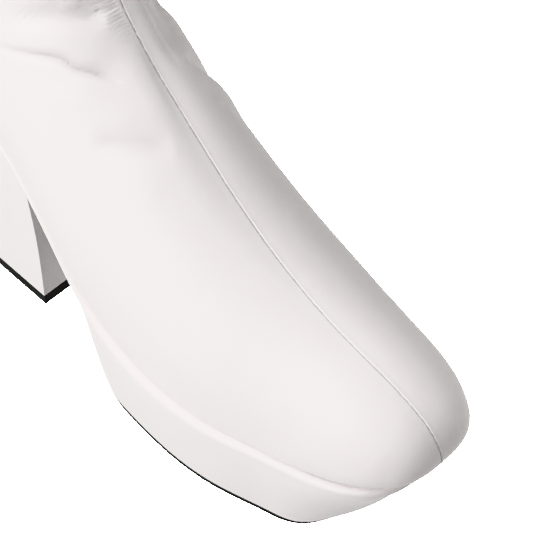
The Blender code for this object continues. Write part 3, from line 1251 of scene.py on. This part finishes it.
@dataclass
class Puckers:
    """Fine puckers that the seam's thread draws in the leather on the seam's outer side, above the instep,
    with painted shade along each.
    """

    first: float = 8.0
    last_place: float = 9.1
    count: int = 25
    full: float = 8.45
    fall: float = 8.75
    start: float = 1.1
    reach: float = 5.5
    reach_rise: float = 3.5
    reach_play: float = 3.0
    lean: float = 0.03
    lean_fall: float = 0.024
    lean_power: float = 1.5
    height: float = 0.34
    low_share: float = 0.4
    play_share: float = 0.4
    half_width: float = 0.36
    fade: tuple[float, float] = (0.12, 0.6)
    spots: tuple[float, ...] = (0.0, 0.5, 1.0)
    # Painted shade along the deepest puckers, for the shade in their troughs.
    painted_shade: float = 0.22
    golden: float = 0.618

    def folds(self) -> list[Fold]:
        """Work out the row of puckers.

        Returns:
            One short trough for each, deepest, longest and darkest with painted shade in the upper middle of
            the row.
        """
        folds = []
        for number, place in enumerate(np.linspace(self.first, self.last_place, self.count)):
            play = (number * self.golden) % 1
            rise = float(ease((place - self.first) / (self.full - self.first)))
            fall = float(1 - ease((place - self.fall) / (self.last_place - self.fall)))
            reach = self.reach + self.reach_rise * rise + self.reach_play * play
            lean = self.lean - self.lean_fall * rise
            deep = (self.low_share + (1 - self.low_share) * rise) * fall
            deep *= 1 - self.play_share + self.play_share * play
            leans = [place + lean * reach * far**self.lean_power for far in self.spots]
            line = tuple((spot, -self.start - reach * far) for spot, far in zip(leans, self.spots))
            half = self.half_width
            depth, painted_shade = self.height * deep, self.painted_shade * deep
            folds.append(Fold(f"pucker {number}", line, -depth, half, half, self.fade, painted_shade=painted_shade))
        return folds


@dataclass
class Upper:
    """The hollow leather upper with its front and back seams, creases, lining and collar hem."""

    last: Last
    leather: Leather
    lining: Lining
    thread: Thread
    puckers: Puckers
    wall: float = 2.0
    wall_slack: float = 0.6
    rows: tuple[Span, ...] = (
        Span(0.0, 4.0, 44),
        Span(4.0, 7.4, 70),
        Span(7.4, 8.0, 36),
        Span(8.0, 8.9, 120),
        Span(8.9, 9.4, 30),
        Span(9.4, 10.0, 14),
        Span(10.0, 12.97, 50),
    )
    near_seam: tuple[float, ...] = (0.12, 0.24, 0.38, 0.54, 0.74, 1.0, 1.3, 1.7, 2.3, 3.0, 4.0, 5.5, 7.4)
    column_start: float = 0.45
    lateral_columns: int = 77
    medial_columns: int = 65
    groove: float = 0.46
    groove_half: float = 0.28
    lip: float = 0.07
    lip_place: float = 0.45
    lip_half: float = 0.22
    dip: tuple[tuple[float, float], ...] = (
        (0.0, 0.0), (4.0, 0.12), (6.0, 0.35), (7.0, 0.9), (7.5, 0.8), (8.0, 0.4), (8.6, 0.25), (13.0, 0.2)
    )
    dip_lateral: float = 6.0
    dip_medial: float = 4.0
    back_groove: float = 0.5
    back_groove_half: float = 0.6
    hem: float = 7.0
    hem_rise: float = 0.3
    hem_ease: float = 0.8
    rim_steps: int = 4
    stitch_lift: float = 0.06
    hem_stitch: float = 5.5
    fold_samples: int = 60
    fold_nudge: float = 0.01
    fold_reach: float = 3.0
    seam_start: float = 0.35
    lining_step: int = 2
    sharp_edge: float = 60.0

    def spread(self, place: np.ndarray, side: Side, distances: np.ndarray) -> np.ndarray:
        """Points at given distances from the crest.

        Args:
            place: Section numbers, one for each row.
            side: Which side.
            distances: Rows of distances from the crest along each section.

        Returns:
            The points, row by row.
        """
        face = self.last.side_face(place, side)[:, ::-1]
        run = np.linalg.norm(np.diff(face, axis=1), axis=2)
        far = np.concatenate([np.zeros((len(face), 1)), np.cumsum(run, axis=1)], axis=1)
        points = np.empty((*distances.shape, 3))
        for row in range(len(face)):
            for axis in range(3):
                points[row, :, axis] = np.interp(distances[row], far[row], face[row, :, axis])
        return points

    def girth(self, place: np.ndarray, side: Side) -> np.ndarray:
        """Length of one side of each section from crest to base."""
        run = np.linalg.norm(np.diff(self.last.side_face(place, side), axis=1), axis=2)
        return run.sum(axis=1)

    def on_face(self, place: np.ndarray, across: np.ndarray) -> np.ndarray:
        """Points on the outer face at places and signed distances across.

        Args:
            place: Section numbers.
            across: Distance from the seam, negative on the lateral side.

        Returns:
            One point for each pair.
        """
        sides = {side: self.spread(place, side, np.abs(across)[:, None])[:, 0] for side in Side}
        return np.where((across < 0)[:, None], sides[Side.LATERAL], sides[Side.MEDIAL])

    def columns(self, place: np.ndarray, side: Side, count: int) -> np.ndarray:
        """Distances of the columns from the crest: close by the seam, then wider towards the base.

        Args:
            place: Section numbers, one for each row.
            side: Which side.
            count: Columns past those by the seam.

        Returns:
            The distances, row by row.
        """
        near = np.broadcast_to(np.array(self.near_seam), (len(place), len(self.near_seam)))
        even = np.linspace(0, 1, count + 1)[1:][None]
        share = even * (self.column_start + (1 - self.column_start) * even)
        last_near = self.near_seam[-1]
        left = self.girth(place, side)[:, None] - last_near
        return np.concatenate([near, last_near + left * share], axis=1)

    def face_grid(self) -> tuple[np.ndarray, np.ndarray, np.ndarray]:
        """The smooth outer face.

        Returns:
            Points of the grid from the lateral base over the crest to the medial base, the section number of
            each row, and each point's distance across.
        """
        place = steps(self.rows)
        lateral = self.columns(place, Side.LATERAL, self.lateral_columns)
        medial = self.columns(place, Side.MEDIAL, self.medial_columns)
        crest = np.zeros((len(place), 1))
        points = np.concatenate([
            self.spread(place, Side.LATERAL, lateral)[:, ::-1],
            self.spread(place, Side.MEDIAL, crest),
            self.spread(place, Side.MEDIAL, medial),
        ], axis=1)
        return points, place, np.concatenate([-lateral[:, ::-1], crest, medial], axis=1)

    def normals(self, points: np.ndarray, place: np.ndarray) -> np.ndarray:
        """Outward normals of a grid.

        Args:
            points: The grid.
            place: Section number of each row.

        Returns:
            A unit normal for each point, shared by both edges where the section closes behind the leg.
        """
        along = np.gradient(points, axis=0)
        across = np.gradient(points, axis=1)
        normals = unit(np.cross(across, along))
        closed = place >= self.last.heel_section
        joined = unit(normals[closed, 0] + normals[closed, -1])
        normals[closed, 0] = joined
        normals[closed, -1] = joined
        return normals

    def fold_share(self, fold: Fold, points: np.ndarray) -> np.ndarray:
        """Share of one fold's height at the points.

        Args:
            fold: The fold.
            points: Points of the smooth face.

        Returns:
            The share at each, 1 along the fold's middle.
        """
        knots = np.arange(len(fold.line), dtype=float)
        spots = np.linspace(0, knots[-1], self.fold_samples)
        place = Spline(knots, [spot[0] for spot in fold.line])(spots)
        across = Spline(knots, [spot[1] for spot in fold.line])(spots)
        line = self.on_face(place, across)
        tangent = unit(np.gradient(line, axis=0))
        if fold.run is Run.ACROSS:
            aside = line - self.on_face(place + self.fold_nudge, across)
        else:
            aside = self.on_face(place, across * (1 + self.fold_nudge)) - line
        aside = unit(aside - (aside * tangent).sum(axis=1, keepdims=True) * tangent)
        flat = points.reshape(-1, 3)
        reach = self.fold_reach * max(fold.ahead, fold.behind)
        near = np.all((flat > line.min(axis=0) - reach) & (flat < line.max(axis=0) + reach), axis=1)
        offset = flat[near][:, None] - line[None]
        closest = (offset**2).sum(axis=2).argmin(axis=1)
        offset = offset[np.arange(len(closest)), closest]
        gap = np.linalg.norm(offset, axis=1)
        ahead = (offset * aside[closest]).sum(axis=1) > 0
        width = np.where(ahead, fold.ahead, fold.behind)
        along = closest / (self.fold_samples - 1)
        envelope = ease(along / fold.fade[0]) * ease((1 - along) / fold.fade[1])
        shares = np.zeros(len(flat))
        shares[near] = envelope * np.exp(-((gap / width) ** fold.edge))
        return shares.reshape(points.shape[:2])

    def relief(
        self, points: np.ndarray, place: np.ndarray, across: np.ndarray
    ) -> tuple[np.ndarray, np.ndarray]:
        """Height of seams, hem and folds over the smooth face, and the shade painted in the folds.

        Args:
            points: The smooth grid.
            place: Section number of each row.
            across: Distance across of each point.

        Returns:
            Height of each point, in millimetres, and its painted shade from 0 to 1.
        """
        seam = np.clip(place / self.seam_start, 0, 1)[:, None]
        height = -self.groove * np.exp(-((across / self.groove_half) ** 2)) * seam
        height += self.lip * np.exp(-(((across - self.lip_place) / self.lip_half) ** 2)) * seam
        dip = np.interp(place, *zip(*self.dip))[:, None]
        height -= dip * np.exp(-((across / np.where(across < 0, self.dip_lateral, self.dip_medial)) ** 2))
        back = np.where(across < 0, across - across[:, :1], across[:, -1:] - across)
        behind = (place >= self.last.heel_section)[:, None]
        height -= self.back_groove * np.exp(-((back / self.back_groove_half) ** 2)) * behind
        down = self.last.collar_rise - points[..., 2]
        height += self.hem_rise * ease((self.hem - down) / self.hem_ease) * behind
        # Each fold adds its height, and its painted shade darkens the leather along its line.
        painted_shade = np.zeros(height.shape)
        for fold in (*ANKLE_FOLDS, *INNER_FOLDS, *SHAFT_FOLDS, *self.puckers.folds()):
            share = self.fold_share(fold, points)
            height += fold.height * share
            painted_shade = np.maximum(painted_shade, fold.painted_shade * share)
        return height, painted_shade

    def rim(self, outer: np.ndarray, normals: np.ndarray) -> list[np.ndarray]:
        """Rows that round the collar from the outer face over to the lining.

        Args:
            outer: Top row of the outer face.
            normals: Normal of each of its points.

        Returns:
            The rows, in order from the outer face.
        """
        turns = np.linspace(0, HALF_TURN, self.rim_steps + 2)[1:-1]
        half = self.wall / 2
        lift = np.array([0.0, 0.0, half])
        return [outer - normals * half * (1 - math.cos(turn)) + lift * math.sin(turn) for turn in turns]

    def shell(
        self, outer: np.ndarray, painted_shade: np.ndarray, inner: np.ndarray, rims: list[np.ndarray]
    ) -> bmesh.types.BMesh:
        """Join outer face, rim and lining to one closed wall.

        Args:
            outer: Grid of the outer face.
            painted_shade: Painted shade of each of its points, for the creases.
            inner: Coarser grid of the lining.
            rims: Rows over the collar.

        Returns:
            The closed mesh, with material 1 on the lining.
        """
        bm = bmesh.new()
        layer = bm.verts.layers.float.new(PAINTED_SHADE)
        faced = np.concatenate([outer, np.array(rims)])
        out = [[bm.verts.new(p) for p in row] for row in self.last.metres(faced)]
        inn = [[bm.verts.new(p) for p in row] for row in self.last.metres(inner)]
        # Store each point's painted shade in the mesh attribute that darkens the leather's colour.
        for verts, values in zip(out, painted_shade):
            for vert, value in zip(verts, values):
                vert[layer] = value
        for near, far in zip(out, out[1:]):
            for a, b, c, d in zip(near, near[1:], far[1:], far):
                bm.faces.new((a, b, c, d))
        for near, far in zip(inn, inn[1:]):
            for a, b, c, d in zip(near, near[1:], far[1:], far):
                bm.faces.new((d, c, b, a)).material_index = 1
        heel = sum(span.count for span in self.rows[:-1])
        step = self.lining_step
        bottom = (bottom_edge(out, heel), bottom_edge(inn, heel // step))
        collar = (out[-1][::-1], inn[-1][::-1])
        for line, lining in (bottom, collar):
            for i in range(len(lining) - 1):
                edge = line[step * i : step * (i + 1) + 1]
                bm.faces.new((*edge[::-1], lining[i], lining[i + 1])).material_index = 1
        bmesh.ops.remove_doubles(bm, verts=bm.verts, dist=MERGE)
        bmesh.ops.dissolve_degenerate(bm, edges=bm.edges, dist=MERGE)
        return bm

    def build(self) -> None:
        """Build and dress the upper, its seam stitches and its hem stitches."""
        smooth, place, across = self.face_grid()
        normals = self.normals(smooth, place)
        # The folds' relief, and the painted shade they lay in the leather's colour.
        relief, painted_shade = self.relief(smooth, place, across)
        outer = smooth + normals * relief[..., None]
        sunk = np.minimum(relief + self.wall_slack, 0) - self.wall
        inner = (smooth + normals * sunk[..., None])[:: self.lining_step, :: self.lining_step]
        rims = self.rim(outer[-1], normals[-1])
        materials = [self.leather.material(), self.lining.material()]
        shell = self.shell(outer, painted_shade, inner, rims)
        piece = make_piece("upper_shell", shell, materials, self.sharp_edge)
        belong(piece, "upper")
        row = StitchRow(self.thread.material())
        crest = across.shape[1] - 1 - self.medial_columns - len(self.near_seam)
        sewn = place > self.seam_start
        lift = self.stitch_lift * normals
        row.build("front_seam_stitches", self.last.metres((outer + lift)[sewn, crest]))
        rise = outer[:, crest, 2]
        hem_row = int(np.argmin(np.abs(rise - (self.last.collar_rise - self.hem_stitch))))
        row.build("collar_hem_stitches", self.last.metres((outer + lift)[hem_row]))


def glow(nodes: Nodes, direction: bpy.types.NodeSocket, aim: Colour, strength: float) -> Wire:
    """Light of the sky round one direction.

    Args:
        nodes: The sky's node tree.
        direction: Where the sky is looked at.
        aim: Where the light is strongest; it fades out a quarter turn from there.
        strength: Its strength there.

    Returns:
        The light's strength.
    """
    dot = nodes.add("ShaderNodeVectorMath", {"operation": "DOT_PRODUCT"}, {0: direction, 1: aim})
    facing = nodes.wire(dot, "Value")
    return facing.math("MAXIMUM", facing, 0.0) * strength


class Lamp(NamedTuple):
    """A round soft lamp: the spot it lights, its direction and distance from there, its size and power."""

    name: str
    aim: tuple[float, float, float]
    azimuth: float
    elevation: float
    distance: float
    size: float
    power: float


@dataclass
class Studio:
    """Pale floor that curves up to a backdrop, soft light and the camera."""

    last: Last
    azimuth: float = 48.43
    elevation: float = 52.3
    roll: float = -2.73
    distance: float = 870.0
    focal_pixels: float = 2507.0
    target: tuple[float, float, float] = (169.7, 0.0, 83.6)
    sensor: float = 36.0
    clip_start: float = 10.0
    floor_radius: float = 3.0
    floor_bend: float = 1.5
    floor_top: float = 4.0
    floor_turns: int = 64
    floor_steps: int = 12
    floor_colour: Colour = (0.2, 0.2, 0.2)
    floor_roughness: float = 0.9
    floor_glow: float = 30.0
    floor_drop: float = 0.0002
    bounce: float = 1.65
    far_fill: float = 0.25
    lamps: tuple[Lamp, ...] = (
        Lamp("side lamp", (105.0, -21.0, 150.0), 270.0, 30.0, 0.75, 0.6, 6.2),
        Lamp("back lamp", (105.0, -21.0, 150.0), 230.0, 60.0, 0.75, 0.6, 5.0),
        Lamp("toe lamp", (228.5, -1.0, 60.0), 58.0, 24.0, 0.6, 0.4, 1.4),
    )

    def floor(self) -> None:
        """Lay the floor, which only the camera sees: the sky's lower half stands for its bounced light."""
        turn = np.linspace(0, QUARTER_TURN, self.floor_steps)
        bend = self.floor_bend
        radius = [0.0, *(self.floor_radius + bend * np.sin(turn)), self.floor_radius + bend]
        height = [0.0, *(bend * (1 - np.cos(turn))), self.floor_top]
        bm = bmesh.new()
        line = [bm.verts.new((r, 0.0, h - self.floor_drop)) for r, h in zip(radius, height)]
        edges = [bm.edges.new(pair) for pair in zip(line, line[1:])]
        bmesh.ops.spin(
            bm,
            geom=[*line, *edges],
            axis=(0, 0, 1),
            cent=(0, 0, 0),
            steps=self.floor_turns,
            angle=2 * HALF_TURN,
        )
        bmesh.ops.remove_doubles(bm, verts=bm.verts, dist=MERGE)
        material, nodes = material_nodes("pale floor")
        nodes.surface({
            "Base Color": (*self.floor_colour, 1.0),
            "Roughness": self.floor_roughness,
            "Specular IOR Level": 0.0,
            "Emission Color": (1.0, 1.0, 1.0, 1.0),
            "Emission Strength": self.floor_glow,
        })
        floor = make_piece("studio_floor", bm, [material])
        floor.visible_diffuse = False
        floor.visible_glossy = False
        floor.visible_shadow = False

    def sky(self) -> None:
        """Throw soft light at the boot from the floor and from the far, inner side."""
        world = bpy.data.worlds.new("studio")
        world.use_nodes = True
        nodes = Nodes(world.node_tree)
        direction = nodes.add("ShaderNodeTexCoord").outputs["Generated"]
        bounced = glow(nodes, direction, (0.0, 0.0, -1.0), self.bounce)
        strength = bounced + glow(nodes, direction, (0.0, 1.0, 0.0), self.far_fill)
        background = nodes.add("ShaderNodeBackground", None, {"Strength": strength})
        nodes.add("ShaderNodeOutputWorld", None, {"Surface": background.outputs["Background"]})
        bpy.context.scene.world = world

    def hang(self, row: Lamp) -> None:
        """Hang one lamp, turned to the boot.

        Args:
            row: The lamp.
        """
        light = bpy.data.lights.new(row.name, "AREA")
        light.shape = "DISK"
        light.size = row.size
        light.energy = row.power
        azimuth, elevation = math.radians(row.azimuth), math.radians(row.elevation)
        level = math.cos(elevation)
        away = Vector((math.cos(azimuth) * level, math.sin(azimuth) * level, math.sin(elevation)))
        lamp = bpy.data.objects.new(row.name, light)
        lamp.location = Vector(self.last.metres(np.array(row.aim))) + away * row.distance
        lamp.rotation_euler = away.to_track_quat("Z", "Y").to_euler()
        bpy.context.scene.collection.objects.link(lamp)

    def camera(self) -> None:
        """Set the camera at the photograph's angle to the boot."""
        azimuth, elevation, roll = (math.radians(a) for a in (self.azimuth, self.elevation, self.roll))
        level = math.cos(elevation)
        back = Vector((math.sin(azimuth) * level, -math.cos(azimuth) * level, math.sin(elevation)))
        right = Vector((math.cos(azimuth), math.sin(azimuth), 0.0))
        up = back.cross(right)
        across = math.cos(roll) * right + math.sin(roll) * up
        upright = math.cos(roll) * up - math.sin(roll) * right
        aim = Vector(self.last.metres(np.array(self.target)))
        data = bpy.data.cameras.new("camera")
        data.sensor_width = self.sensor
        data.lens = self.focal_pixels / IMAGE_SIDE * self.sensor
        data.clip_start = self.clip_start * MM
        data.dof.use_dof = False
        camera = bpy.data.objects.new("camera", data)
        turn = Matrix((across, upright, back)).transposed().to_4x4()
        camera.matrix_world = Matrix.Translation(aim + back * self.distance * MM) @ turn
        bpy.context.scene.collection.objects.link(camera)
        bpy.context.scene.camera = camera

    def build(self) -> None:
        """Set floor, light, camera and the plain view transform."""
        self.floor()
        self.sky()
        for row in self.lamps:
            self.hang(row)
        self.camera()
        bpy.context.scene.view_settings.view_transform = "Khronos PBR Neutral"
        bpy.context.scene.view_settings.look = "None"


def main() -> None:
    """Build the boot, piece by piece, and its studio."""
    logging.basicConfig(level=logging.INFO, format="%(name)s %(message)s")
    last = Last()
    Studio(last).build()
    Platform(last, Leather("platform leather")).build()
    Outsole(last, Rubber("outsole rubber")).build()
    Insole(last, Lining("insole lining")).build()
    Heel(last, Leather("heel leather"), Rubber("lift rubber")).build()
    Upper(last, Leather("upper leather"), Lining("upper lining"), Thread("white thread"), Puckers()).build()


if __name__ == "__main__":
    main()
